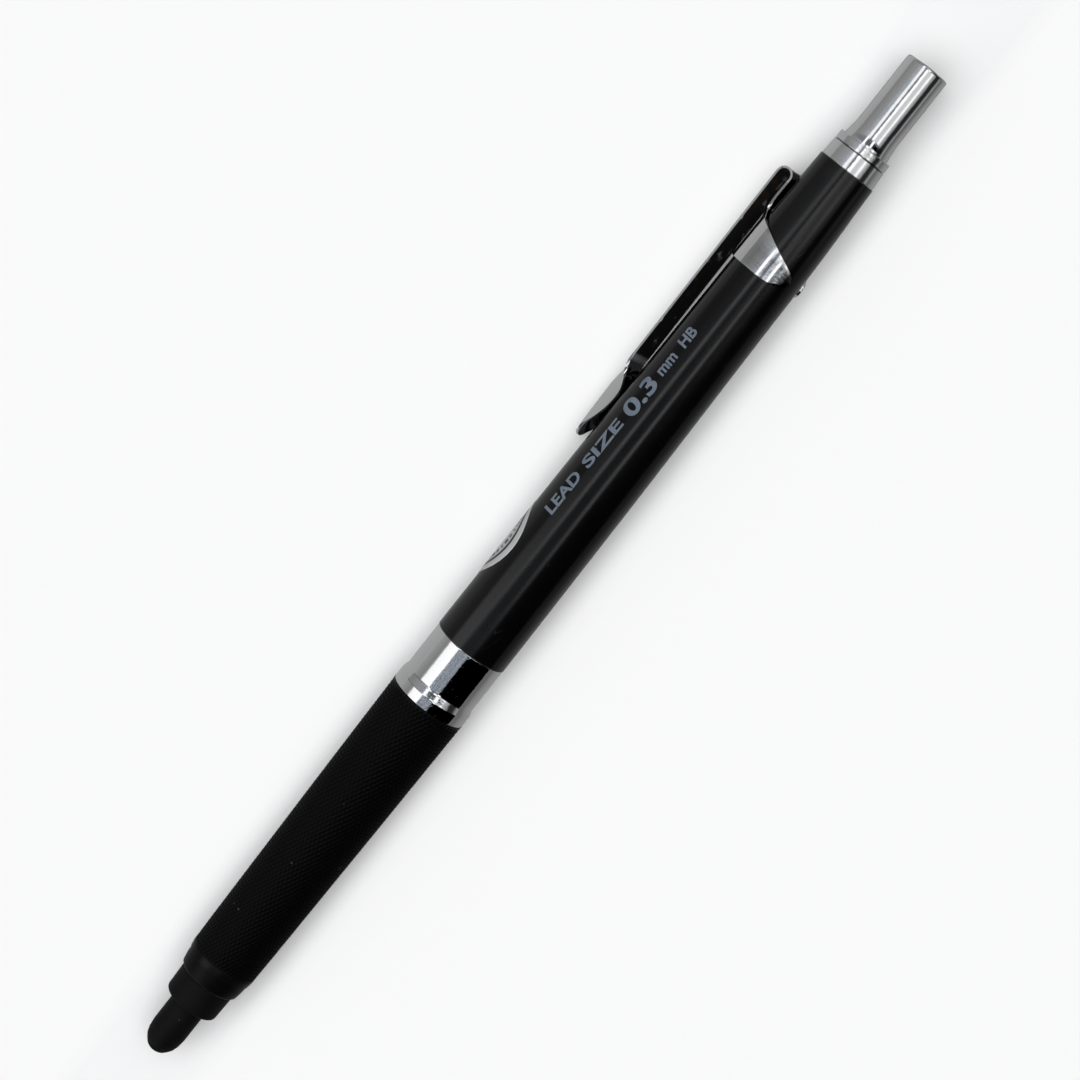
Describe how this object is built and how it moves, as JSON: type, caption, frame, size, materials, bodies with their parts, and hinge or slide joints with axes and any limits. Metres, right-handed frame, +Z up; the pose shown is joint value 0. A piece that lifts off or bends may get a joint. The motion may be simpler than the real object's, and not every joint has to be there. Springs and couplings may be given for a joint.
{
  "type": "mechanical pencil",
  "caption": "Round mechanical drafting pencil with a knurled grip, chrome centre ring, push button and folded strip clip, capped at the tip.",
  "frame": {"origin": "on the surface the pencil lies on, below the middle of its length and of its width", "axes": "+X from the tip to the push button, +Z up; the clip leans 114 degrees from straight up towards +Y"},
  "size_m": [0.142, 0.0111, 0.0095],
  "materials": {
    "cap_rubber": "matte moulded rubber",
    "black_metal": "black satin paint",
    "grip_black": "fine diamond knurl",
    "barrel_black": "black satin",
    "chrome": "bright plated",
    "clip_chrome": "bright plated spring steel",
    "foil": "printed silver foil",
    "brass": "turned",
    "steel": "drawn",
    "graphite": "graphite and polymer lead",
    "retainer_rubber": "moulded",
    "tube_plastic": "natural polypropylene",
    "coupler_plastic": "moulded",
    "eraser_rubber": "white eraser"
  },
  "bodies": {
    "barrel_assembly": {"barrel": "barrel_black", "barrel_insert": "brass", "centre_ring": "chrome", "grip": "grip_black", "grip_liner": "brass", "nose_cone": "black_metal", "lead_sleeve": "steel", "lead_retainer": "retainer_rubber", "chuck_housing": "brass", "chuck_spring": "steel", "end_collar": "chrome", "guide_bush": "chrome", "clip_band": "clip_chrome", "foil_label": "foil"},
    "feed_tube": {"lead_tube": "tube_plastic", "tube_coupler": "coupler_plastic", "chuck_stem": "brass", "spare_leads": "graphite"},
    "push_button": {"push_button": "chrome"},
    "eraser_plug": {"eraser": "eraser_rubber", "eraser_ferrule": "steel", "cleaning_pin": "steel"},
    "tip_cap": {"tip_cap": "cap_rubber"},
    "clip_arm": {"clip_arm": "clip_chrome"},
    "chuck_ring": {"chuck_ring": "brass"},
    "chuck_jaw_1": {"chuck_jaw_1": "brass"},
    "chuck_jaw_2": {"chuck_jaw_2": "brass"},
    "chuck_jaw_3": {"chuck_jaw_3": "brass"},
    "lead": {"lead": "graphite"}
  },
  "joints": [
    {"name": "button_click", "type": "slide", "parent": "barrel_assembly", "child": "feed_tube", "axis": [-1, 0, 0], "range_m": [0, 0.0035], "stiffness_N_per_m": 800, "springref_m": -0.0012, "deforming": ["chuck_spring"]},
    {"name": "button_pull", "type": "slide", "parent": "feed_tube", "child": "push_button", "axis": [1, 0, 0], "range_m": [0, 0.02]},
    {"name": "eraser_pull", "type": "slide", "parent": "feed_tube", "child": "eraser_plug", "axis": [1, 0, 0], "range_m": [0, 0.0018]},
    {"name": "cap_pull", "type": "slide", "parent": "barrel_assembly", "child": "tip_cap", "axis": [-1, 0, 0], "range_m": [0, 0.015]},
    {"name": "clip_flex", "type": "hinge", "parent": "barrel_assembly", "child": "clip_arm", "pos_m": [0.05255, 0.0035, 0.00282], "axis": [0, -0.4067, -0.9135], "range_deg": [0, 5], "stiffness_Nm_per_rad": 0.9, "springref_deg": -1.72},
    {"name": "chuck_ring_slide", "type": "slide", "parent": "barrel_assembly", "child": "chuck_ring", "axis": [-1, 0, 0], "range_m": [0, 0.0006]},
    {"name": "lead_feed", "type": "slide", "parent": "barrel_assembly", "child": "lead", "axis": [-1, 0, 0], "range_m": [0, 0.0006]},
    {"name": "jaw_1_open", "type": "hinge", "parent": "feed_tube", "child": "chuck_jaw_1", "pos_m": [-0.04, -0.00002, 0.00438], "axis": [0, -0.4067, -0.9135], "range_deg": [0, 1.2]},
    {"name": "jaw_2_open", "type": "hinge", "parent": "feed_tube", "child": "chuck_jaw_2", "pos_m": [-0.04, -0.00098, 0.00571], "axis": [0, 0.9945, 0.1045], "range_deg": [0, 1.2]},
    {"name": "jaw_3_open", "type": "hinge", "parent": "feed_tube", "child": "chuck_jaw_3", "pos_m": [-0.04, -0.00165, 0.00421], "axis": [0, -0.5878, 0.809], "range_deg": [0, 1.2]}
  ],
  "couplings": [
    {"joint": "chuck_ring_slide", "follows": "button_click", "ratio": 0.16},
    {"joint": "lead_feed", "follows": "button_click", "ratio": 0.16},
    {"joint": "jaw_1_open", "follows": "button_click", "rad_per_m": 5.9},
    {"joint": "jaw_2_open", "follows": "button_click", "rad_per_m": 5.9},
    {"joint": "jaw_3_open", "follows": "button_click", "rad_per_m": 5.9}
  ]
}
